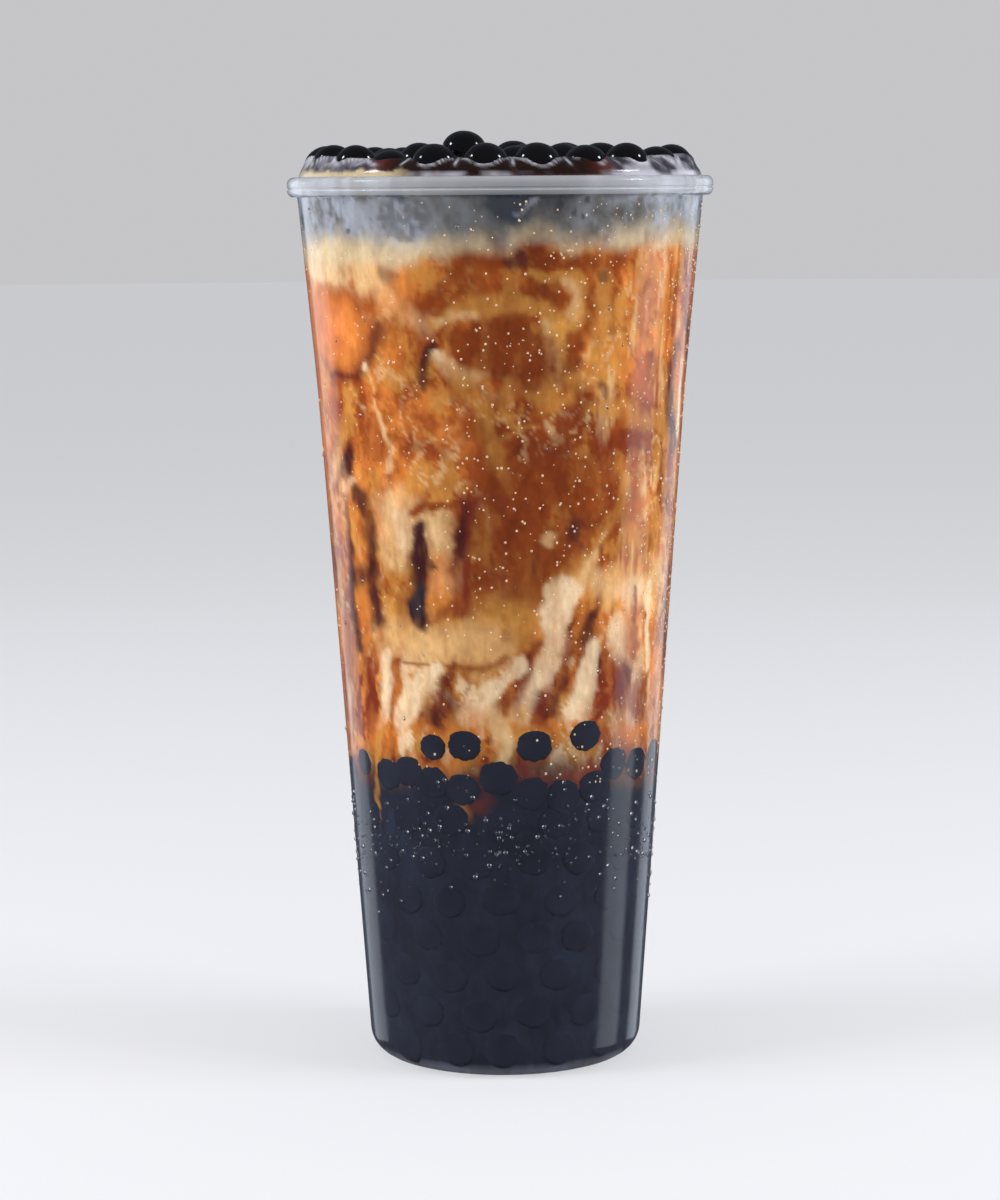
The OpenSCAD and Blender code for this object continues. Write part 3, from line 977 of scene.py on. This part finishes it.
class BOBA_OT_cup(BobaOperator, bpy.types.Operator):
    """Build the clear cup with its rolled rim"""
    bl_idname = "boba.cup"
    bl_label = "Cup"

    arc_steps = 8
    around = 256
    # the straight wall's lowest point, half the height of the soft shoulder, and the wall's end
    wall_low = 12
    bend = 3
    below_rim = 2
    # radius of the cove under the rim
    cove = 1.0
    # the groove's height above the rim's underside, its depth and half its width
    groove_height = 1.75
    groove_depth = 0.25
    groove_half = 0.35

    def outline(self, form):
        """The cup's section: up the outside from the recess, over the rim and down the inside."""
        heights = [*np.linspace(self.wall_low, form.shoulder_z - 2 * self.bend, 5),
                   *np.linspace(form.shoulder_z - self.bend, form.rim_z - self.below_rim, 6)]
        outline = [(0, form.recess), (form.recess_r - form.recess, form.recess), (form.recess_r, 0)]
        outline += form.corner_arc(0, 0, self.arc_steps)
        outline += [(float(form.outer(z)), z) for z in heights]
        outline += self.rim(form)
        outline += [(float(form.inner(z)), z) for z in reversed(heights)]
        outline += reversed(form.corner_arc(form.wall, form.floor, self.arc_steps))
        raised = form.floor + form.recess
        return outline + [(form.step_r, form.floor), (form.step_r - form.recess, raised), (0, raised)]

    def rim(self, form):
        """The cove under the rim, then the rolled rim with its groove, up and over to the inside."""
        round_r = (form.rim_lip + form.wall) / 2
        centre = form.rim_r - round_r
        low = form.rim_z + form.rim_lip / 4 - self.cove
        start = float(form.outer(low)) + self.cove
        line = [(start - self.cove * math.cos(t), low + self.cove * math.sin(t))
                for t in np.linspace(0, 1.2, 5)]
        lower, upper = form.rim_z + round_r, form.height - round_r
        line += [(centre + round_r * math.sin(t), lower - round_r * math.cos(t))
                 for t in np.linspace(0.3, 1.57, 6)]
        groove = form.rim_z + self.groove_height
        line += [(form.rim_r - self.groove_depth * math.cos(t), groove + self.groove_half * math.sin(t))
                 for t in np.linspace(-1.5, 1.5, 7)]
        return line + [(centre + round_r * math.cos(t), upper + round_r * math.sin(t))
                       for t in np.linspace(0, math.pi, 12)]

    def execute(self, context):
        form = CupForm(context)
        cup = revolve("cup_shell", self.outline(form), self.around)
        finish_piece(cup, plastic_material(context), "cup_plastic", "cup")
        cup.data.materials.append(rim_material(context))
        edge = (form.rim_z + form.rim_lip / 4) * MM
        for face in cup.data.polygons:
            face.material_index = int(face.center.z > edge)
        cup.visible_shadow = False
        return {"FINISHED"}


class BOBA_OT_tea(BobaOperator, bpy.types.Operator):
    """Build the marbled tea, which reaches just into the wall"""
    bl_idname = "boba.tea"
    bl_label = "Marbled tea"

    around = 400
    step = 0.6

    def execute(self, context):
        body = PaintedBody(context)
        low = context.scene.boba_pearl.bed_joint / MM
        high = tea_top()
        wall = body.wall_line(low, high, self.step)
        outline = body.disc(wall[0][0], low, 3) + wall
        outline += reversed(body.disc(wall[-1][0], high, 3))
        tea = body.painted("milk_tea_body", outline, self.around, context)
        finish_piece(tea, painted_material("marbled_milk_tea", 0.4, 0.1, 0.1), "milk_tea", "milk_tea")
        return {"FINISHED"}


class BOBA_OT_bed(BobaOperator, bpy.types.Operator):
    """Build the syrup core of the lower bed and the pearls pressed against the wall"""
    bl_idname = "boba.bed"
    bl_label = "Pearl bed"

    around = 256
    step = 1.2
    # how far a pearl would stand past the wall's inner face, and how far it is let in
    sink = 2.3
    press = 0.18
    # the rings of touching pearls end below this height, and lie this share of a width apart
    full = 61
    ring_step = 0.87
    # angles and height of the loose row at the back, and how far each of its pearls may stray
    back_row = (88, 274, 15)
    back_height = 65
    stray = 3

    def core(self, context):
        body = PaintedBody(context)
        form = body.form
        joint = context.scene.boba_pearl.bed_joint / MM
        arc = form.corner_arc(form.wall - body.reach, form.floor - body.reach, 8)
        floor = form.floor - body.reach
        raised = floor + form.recess
        outline = [(0, raised), (form.step_r - form.recess, raised), (form.step_r, floor)]
        outline += arc + body.wall_line(arc[-1][1] + self.step, joint, self.step)
        outline += reversed(body.disc(outline[-1][0], joint, 3))
        core = body.painted("bed_syrup", outline, self.around, context)
        finish_piece(core, painted_material("dark_syrup", 0.4, 0.1, 0.08), "pearl_syrup", "pearl_bed")

    def places(self, context, form, width, rng):
        """Pearls in staggered rings against the wall, and a loose top row."""
        radius = width / 2
        places = []
        for turn, height, wide in BED_TOP_PEARLS:
            near = float(form.inner(height)) * math.cos(math.radians(turn))
            places.append((turn, true_height(context, near, height), wide))
        for turn in range(*self.back_row):
            turn += rng.uniform(-self.stray, self.stray)
            height = self.back_height + rng.uniform(-self.stray, self.stray)
            places.append((turn, height, width * rng.uniform(0.8, 1)))
        row, height = 0, form.floor + radius + 0.5
        while height < self.full:
            count = int(2 * math.pi * (float(form.inner(height)) - radius) / (width * 0.98))
            for n in range(count):
                turn = (n + 0.5 * (row % 2)) * 360 / count + rng.uniform(-2, 2)
                places.append((turn, height + rng.uniform(-0.7, 0.7), width * rng.uniform(0.9, 1.02)))
            height += width * self.ring_step
            row += 1
        return places

    def pearls(self, context):
        """True-size pearls, pressed flat where they meet the wall."""
        form = CupForm(context)
        rng = np.random.default_rng(3)
        width = context.scene.boba_pearl.width / MM
        deselect()
        bpy.ops.mesh.primitive_ico_sphere_add(subdivisions=3, radius=MM)
        model = context.object
        bpy.ops.object.mode_set(mode="EDIT")
        bpy.ops.mesh.select_all(action="SELECT")
        bpy.ops.transform.resize(value=(1, 1, 0.95))
        bpy.ops.object.mode_set(mode="OBJECT")
        spots = []
        for angle, height, wide in self.places(context, form, width, rng):
            turn, radius = math.radians(angle), wide / 2
            away = float(form.inner(height)) + self.sink - radius
            size = Matrix.Rotation(rng.uniform(0, 6), 3, "Z") * radius
            spots.append((np.array(size), (away * math.sin(turn), -away * math.cos(turn), height)))
        pearls = scatter("bed_pearls", model.data, spots)
        bpy.data.objects.remove(model)
        points = points_of(pearls.data)
        reach = np.hypot(points[:, 0], points[:, 1])
        most = form.inner(points[:, 2]) + self.press
        points[:, :2] *= np.minimum(1, most / reach)[:, None]
        floor = np.where(reach < form.step_r, form.floor + form.recess, form.floor)
        points[:, 2] = np.maximum(points[:, 2], floor)
        set_points(pearls.data, points)
        finish_piece(pearls, sunk_pearl_material(context), "pearl_syrup", "pearl_bed")

    def execute(self, context):
        self.core(context)
        self.pearls(context)
        return {"FINISHED"}


class BOBA_OT_top(BobaOperator, bpy.types.Operator):
    """Build the milk under the rim, with the film and syrup that stand above it"""
    bl_idname = "boba.top"
    bl_label = "Milk and film"

    around = 480
    step = 0.55
    # radius of the milk's rounded edge, and how far below the rim's top it starts
    bulge = 2.6
    brim_drop = 0.3
    # how fast the film falls away from a pearl, and the most that it climbs
    fade = 0.75
    crest = 4.2
    # how far the middle and the sides of the film rise, as shares
    rise_middle, rise_sides = 0.72, 1.22

    def film(self, points, climb):
        """How high the film climbs between the pearls, and how near the two closest pearls are."""
        total = np.zeros(len(points))
        nearest = np.full(len(points), 1e3)
        second = nearest.copy()
        for name in PEARL_NODES:
            low, high = (np.array(corner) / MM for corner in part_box(name))
            middle, radius = (low + high) / 2, (high[0] - low[0]) / 2
            away = np.hypot(points[:, 0] - middle[0], points[:, 1] - middle[1]) - radius
            second = np.minimum(second, np.maximum(nearest, away))
            nearest = np.minimum(nearest, away)
            total += climb * np.exp(-np.maximum(away + 0.15, 0) / self.fade)
        return self.crest * (1 - np.exp(-total / self.crest)), nearest, second

    def shape(self, points, form, climb, level):
        """Raises the film to the pearls; it lies still at the wall."""
        edge = float(form.inner(form.height)) - self.bulge
        radius = np.hypot(points[:, 0], points[:, 1])
        above = smooth(level - self.bulge, level, points[:, 2])
        inward = 1 - smooth(edge, edge + self.bulge, radius)
        rise, nearest, second = self.film(points, climb)
        sides = smooth(24, 40, np.abs(points[:, 0]))
        free = (points[:, 2] > form.height - self.brim_drop) * (0.25 + 0.75 * inward)
        lift = self.rise_middle + (self.rise_sides - self.rise_middle) * sides
        points[:, 2] += above * free * rise * lift
        return above, nearest, second

    def paint(self, canvas, above, nearest, second, context):
        """Thin dark milk with pale lines round and between the pearls, and syrup at the front."""
        top = context.scene.boba_top
        wide = canvas.clouds.at(canvas.points + 800, 7, 3)
        fine = canvas.clouds.at(canvas.points + 900, 1.8, 3)
        turn = canvas.angle
        on_top = smooth(0.0, 0.15, above)
        canvas.lay(top.film_thin, on_top)
        canvas.lay(top.film, on_top * 0.5 * smooth(0.5, 0.72, wide + 0.3 * (fine - 0.5)))
        sides = smooth(38, 60, np.abs(turn)) * smooth(32, 38, canvas.radius)
        canvas.lay(top.film, on_top * 0.2 * sides * smooth(0.4, 0.65, fine + 0.3 * (wide - 0.5)))
        away = np.abs(turn + 3)
        front = on_top * smooth(40, 30, away) * smooth(29.5, 32.5, canvas.radius)
        canvas.lay(top.syrup_edge, front)
        canvas.lay(top.syrup, front * smooth(38, 26, away) * smooth(0.25, 0.45, fine + 0.2))
        web = np.exp(-((second - nearest + 0.8 * (fine - 0.5)) / 0.42) ** 2) * smooth(2.6, 1.2, nearest)
        touch = 0.75 * np.exp(-((nearest + 0.05) / 0.2) ** 2)
        touch *= smooth(0.35, 0.55, wide + 0.4 * (fine - 0.5))
        canvas.lay(top.film, on_top * np.maximum(web, touch) * (0.5 + 0.5 * smooth(0.3, 0.55, fine)))
        lip = smooth(0.0, 0.1, above) * smooth(0.5, 0.2, above)
        canvas.lay(top.film, 0.7 * lip * smooth(0.4, 0.6, wide))
        left = smooth(-22, -34, turn) * smooth(-92, -75, turn) * smooth(0, 0.1, above)
        canvas.lay(top.band_cream, 0.85 * left * smooth(0.75, 0.35, above + fine - 0.5))

    def execute(self, context):
        body = PaintedBody(context)
        form = body.form
        low = tea_top()
        edge_z = form.height - self.brim_drop
        level = edge_z + self.bulge
        wall = body.wall_line(low, edge_z, self.step)
        centre = wall[-1][0] - self.bulge
        arc = [(centre + self.bulge * math.cos(t), edge_z + self.bulge * math.sin(t))
               for t in np.linspace(0, math.pi / 2, 9)[1:]]
        outline = body.disc(wall[0][0], low, 3) + wall + arc
        outline += reversed(body.disc(centre, level, round(centre / self.step)))
        top = revolve("milk_top", outline, self.around)
        points = points_of(top.data)
        canvas = Marbling(points.copy(), context, form)
        canvas.paint()
        above, nearest, second = self.shape(points, form, context.scene.boba_top.climb / MM, level)
        set_points(top.data, points)
        self.paint(canvas, above, nearest, second, context)
        canvas.store(top.data)
        finish_piece(top, painted_material("milk_and_film", 0.16, 0.5, 0.06, 0.1), "cream", "cream_layer")
        return {"FINISHED"}


class BOBA_OT_pearls(BobaOperator, bpy.types.Operator):
    """Build the glossy pearls heaped on top"""
    bl_idname = "boba.pearls"
    bl_label = "Top pearls"

    def execute(self, context):
        lumps = context.scene.boba_pearl.lumps
        material = top_pearl_material(context)
        texture = bpy.data.textures.new("lumps", "CLOUDS")
        texture.noise_scale = 5 * MM
        texture.noise_depth = 1
        rng = np.random.default_rng(11)
        deselect()
        bpy.ops.mesh.primitive_ico_sphere_add(subdivisions=4, radius=1)
        model = context.object
        bpy.ops.object.shade_smooth()
        for number, name in enumerate(PEARL_NODES):
            low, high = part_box(name)
            middle, radius = (low + high) / 2, (high.x - low.x) / 2
            pearl = bpy.data.objects.new("tapioca_%02d" % (number + 1), model.data.copy())
            context.scene.collection.objects.link(pearl)
            squash = rng.uniform(0.92, 1.0)
            turn = Matrix.Rotation(rng.uniform(0, 6), 4, "Z")
            turn = turn @ Matrix.Rotation(rng.uniform(-0.3, 0.3), 4, "X")
            size = Matrix.Diagonal((radius, radius, radius * squash, 1))
            pearl.data.transform(Matrix.Translation(middle) @ turn @ size)
            deselect()
            pearl.select_set(True)
            context.view_layer.objects.active = pearl
            press = pearl.modifiers.new("lumps", "DISPLACE")
            press.texture = texture
            press.strength = lumps
            press.mid_level = 1.0
            bpy.ops.object.modifier_apply(modifier=press.name)
            finish_piece(pearl, material, "pearl", name)
        bpy.data.objects.remove(model)
        return {"FINISHED"}


class BOBA_OT_drops(BobaOperator, bpy.types.Operator):
    """Scatter condensation over the outside of the cup"""
    bl_idname = "boba.drops"
    bl_label = "Condensation"

    # heights between which fine drops lie, and below which they are fewer
    fine_low, fine_high = 58, 183
    fewer_below = 90
    # the beads over the bed as middle and spread, those in a row, and those up the wall
    over_bed = (46, 6.5)
    in_row = (42.6, 0.5)
    up_wall = (58, 184)
    bead_shares = (0.74, 0.08, 0.18)
    # how deep a drop's base lies in the wall
    sink = 0.03

    def model(self, context):
        """A low dome of a few dozen faces, closed by a flat base, with its top towards +X."""
        deselect()
        bpy.ops.mesh.primitive_ico_sphere_add(subdivisions=2, radius=MM)
        dome = context.object
        bpy.ops.object.mode_set(mode="EDIT")
        bpy.ops.mesh.select_all(action="SELECT")
        bpy.ops.mesh.bisect(plane_co=(0, 0, 0), plane_no=(1, 0, 0), use_fill=True, clear_inner=True)
        bpy.ops.mesh.select_all(action="SELECT")
        bpy.ops.transform.resize(value=(0.8, 1, 1))
        bpy.ops.object.mode_set(mode="OBJECT")
        return dome

    def fine(self, drop, rng):
        """Fine drops over the tea and the band, more of them on the right: (angle, shown height, width)."""
        spots = []
        while len(spots) < drop.fine:
            angle, height = rng.uniform(-180, 180), rng.uniform(self.fine_low, self.fine_high)
            want = 0.5 + 0.4 * math.sin(math.radians(angle)) - 0.25 * (height < self.fewer_below)
            if rng.random() < want:
                spots.append((angle, height, drop.width_low / MM * rng.uniform(0.7, 1.6) ** 1.3))
        return spots

    def beads(self, drop, rng):
        """Clear beads, thickest over the top of the bed, some of them in a row."""
        low, high = drop.width_low / MM, drop.width_high / MM
        spots = []
        for _ in range(drop.large):
            angle = rng.uniform(-180, 180)
            heights = [rng.normal(*self.over_bed), rng.normal(*self.in_row), rng.uniform(*self.up_wall)]
            height = rng.choice(heights, p=self.bead_shares)
            spots.append((angle, float(height), low + (high - low) * rng.random() ** 3))
        return spots

    def piece(self, context, name, dome, spots, rng, material):
        form = CupForm(context)
        places = []
        for angle, shown, width in spots:
            near = float(form.outer(shown)) * abs(math.cos(math.radians(angle)))
            z = true_height(context, near, shown)
            turn = math.radians(angle) - math.pi / 2
            radius = float(form.outer(z)) - self.sink
            size = Matrix.Diagonal((width / 2, width / 2, width / 2 * rng.uniform(1, 1.25)))
            facing = Matrix.Rotation(turn, 3, "Z")
            places.append((np.array(facing @ size), (radius * math.cos(turn), radius * math.sin(turn), z)))
        drops = scatter(name, dome.data, places)
        finish_piece(drops, material, "cup_plastic")
        drops.visible_shadow = False

    def execute(self, context):
        drop = context.scene.boba_drop
        rng = np.random.default_rng(21)
        dome = self.model(context)
        # fine drops, whose warm white colour is painted sparkle
        self.piece(context, "fine_condensation_glints", dome, self.fine(drop, rng), rng, mist_sparkle_material())
        self.piece(context, "condensation", dome, self.beads(drop, rng), rng, water_material())
        bpy.data.objects.remove(dome)
        return {"FINISHED"}


class BOBA_OT_stage(BobaOperator, bpy.types.Operator):
    """Lay the floor, set the lights and place the camera"""
    bl_idname = "boba.stage"
    bl_label = "Stage"

    # height that the lamps point at, in metres, and the tint of those that show in the gloss
    aim = 0.11
    cool = (0.82, 0.9, 1.0)
    # the backdrop's strength as it shows, as it lights and as it mirrors
    seen = 0.58
    ambient = 0.36
    gloss = 0.12
    # the floor's own light, which brings its far end near the backdrop's
    floor_glow = 0.5
    floor_radius = 6
    # name, angle, height, distance, width and height of the box, power, whether it shows in the gloss
    lamps = [
        ("key_left", -70, 0.42, 0.9, (0.4, 0.6), 8.4, False),
        ("key_right", 72, 0.40, 0.9, (0.4, 0.6), 7.6, False),
        ("top", 0, 1.2, 0.1, (0.9, 0.9), 3.0, False),
        ("strip_right", 98, 0.0, 0.8, (0.34, 0.7), 1.0, True),
        ("strip_left", -136, 0.05, 0.8, (0.4, 0.7), 0.8, True),
        ("edge_right", 140, 0.05, 0.8, (0.3, 0.7), 0.7, True),
        ("glint_left", -88, 0.75, 0.75, (0.13, 0.13), 1.3, True),
        ("glint_right", 88, 0.75, 0.75, (0.13, 0.13), 1.3, True),
    ]

    def floor(self, context):
        deselect()
        bpy.ops.mesh.primitive_circle_add(vertices=96, radius=self.floor_radius, fill_type="NGON")
        floor = context.object
        floor.name = "floor"
        bpy.ops.object.mode_set(mode="EDIT")
        bpy.ops.mesh.select_all(action="SELECT")
        bpy.ops.mesh.inset(thickness=0.75 * self.floor_radius)
        bpy.ops.object.mode_set(mode="OBJECT")
        material, shader = new_material("pale_floor", {
            "Base Color": (*context.scene.boba_stage.floor, 1), "Roughness": 0.6,
            "Emission Color": (0.97, 0.97, 1, 1), "Emission Strength": self.floor_glow})
        floor.data.materials.append(material)
        floor.visible_glossy = False
        floor.visible_diffuse = False

    def lamp(self, name, angle, height, distance, size, power, mirrored):
        """A soft box that faces the cup, from an angle round it; mirrored ones show in the gloss."""
        data = bpy.data.lights.new(name, "AREA")
        data.shape = "RECTANGLE"
        data.size, data.size_y = size
        data.energy = power
        data.color = self.cool if mirrored else (1, 1, 1)
        lamp = bpy.data.objects.new(name, data)
        turn = math.radians(angle)
        place = Vector((math.sin(turn) * distance, -math.cos(turn) * distance, height))
        lamp.location = place
        lamp.rotation_mode = "QUATERNION"
        lamp.rotation_quaternion = (Vector((0, 0, self.aim)) - place).to_track_quat("-Z", "Y")
        lamp.visible_glossy = mirrored
        lamp.visible_transmission = False
        bpy.context.scene.collection.objects.link(lamp)

    def background(self, tree, tint, strength):
        made = tree.nodes.new("ShaderNodeBackground")
        made.inputs["Color"].default_value = (*tint, 1)
        made.inputs["Strength"].default_value = strength
        return made

    def world(self, context):
        """A pale backdrop, which lights the cup less than it shows and is dim in its gloss."""
        world = bpy.data.worlds.new("studio")
        context.scene.world = world
        world.use_nodes = True
        tree = world.node_tree
        tree.nodes.clear()
        out = tree.nodes.new("ShaderNodeOutputWorld")
        rays = tree.nodes.new("ShaderNodeLightPath")
        last = self.background(tree, (0.97, 0.97, 1.0), self.seen)
        for kind, tint, strength in (
                ("Is Diffuse Ray", (0.96, 0.98, 1.0), self.ambient),
                ("Is Glossy Ray", (0.7, 0.8, 1.0), self.gloss)):
            mix = tree.nodes.new("ShaderNodeMixShader")
            tree.links.new(rays.outputs[kind], mix.inputs[0])
            tree.links.new(last.outputs[0], mix.inputs[1])
            tree.links.new(self.background(tree, tint, strength).outputs[0], mix.inputs[2])
            last = mix
        tree.links.new(last.outputs[0], out.inputs["Surface"])

    def camera(self, context):
        stage = context.scene.boba_stage
        data = bpy.data.cameras.new("camera")
        data.lens = stage.lens
        data.sensor_width = 36
        data.clip_start = 10 * MM
        camera = bpy.data.objects.new("camera", data)
        camera.location = (0, -stage.eye_distance, stage.eye_height)
        camera.rotation_euler = (math.pi / 2 - stage.pitch, stage.roll, 0)
        context.scene.collection.objects.link(camera)
        context.scene.camera = camera

    def execute(self, context):
        self.floor(context)
        self.world(context)
        for row in self.lamps:
            self.lamp(*row)
        self.camera(context)
        context.scene.view_settings.view_transform = "Standard"
        return {"FINISHED"}


class BOBA_PT_panel(bpy.types.Panel):
    """The drink's pieces and their settings"""
    bl_idname = "BOBA_PT_panel"
    bl_label = "Bubble Tea"
    bl_space_type = "VIEW_3D"
    bl_region_type = "UI"
    bl_category = "Bubble Tea"

    def draw(self, context):
        for step in OPERATORS:
            self.layout.operator(step.bl_idname)
        for name, settings in SETTINGS.items():
            box = self.layout.box()
            box.label(text=settings.__doc__)
            for prop in settings.__annotations__:
                box.prop(getattr(context.scene, name), prop)


OPERATORS = [
    BOBA_OT_cup, BOBA_OT_tea, BOBA_OT_bed, BOBA_OT_top, BOBA_OT_pearls, BOBA_OT_drops, BOBA_OT_stage]
CLASSES = [*SETTINGS.values(), *OPERATORS, BOBA_PT_panel]


def register():
    for cls in CLASSES:
        bpy.utils.register_class(cls)
    for name, settings in SETTINGS.items():
        setattr(bpy.types.Scene, name, bpy.props.PointerProperty(type=settings))


def unregister():
    for name in SETTINGS:
        delattr(bpy.types.Scene, name)
    for cls in reversed(CLASSES):
        bpy.utils.unregister_class(cls)


def main():
    register()
    for step in OPERATORS:
        group, name = step.bl_idname.split(".")
        getattr(getattr(bpy.ops, group), name)()


if __name__ == "__main__":
    main()
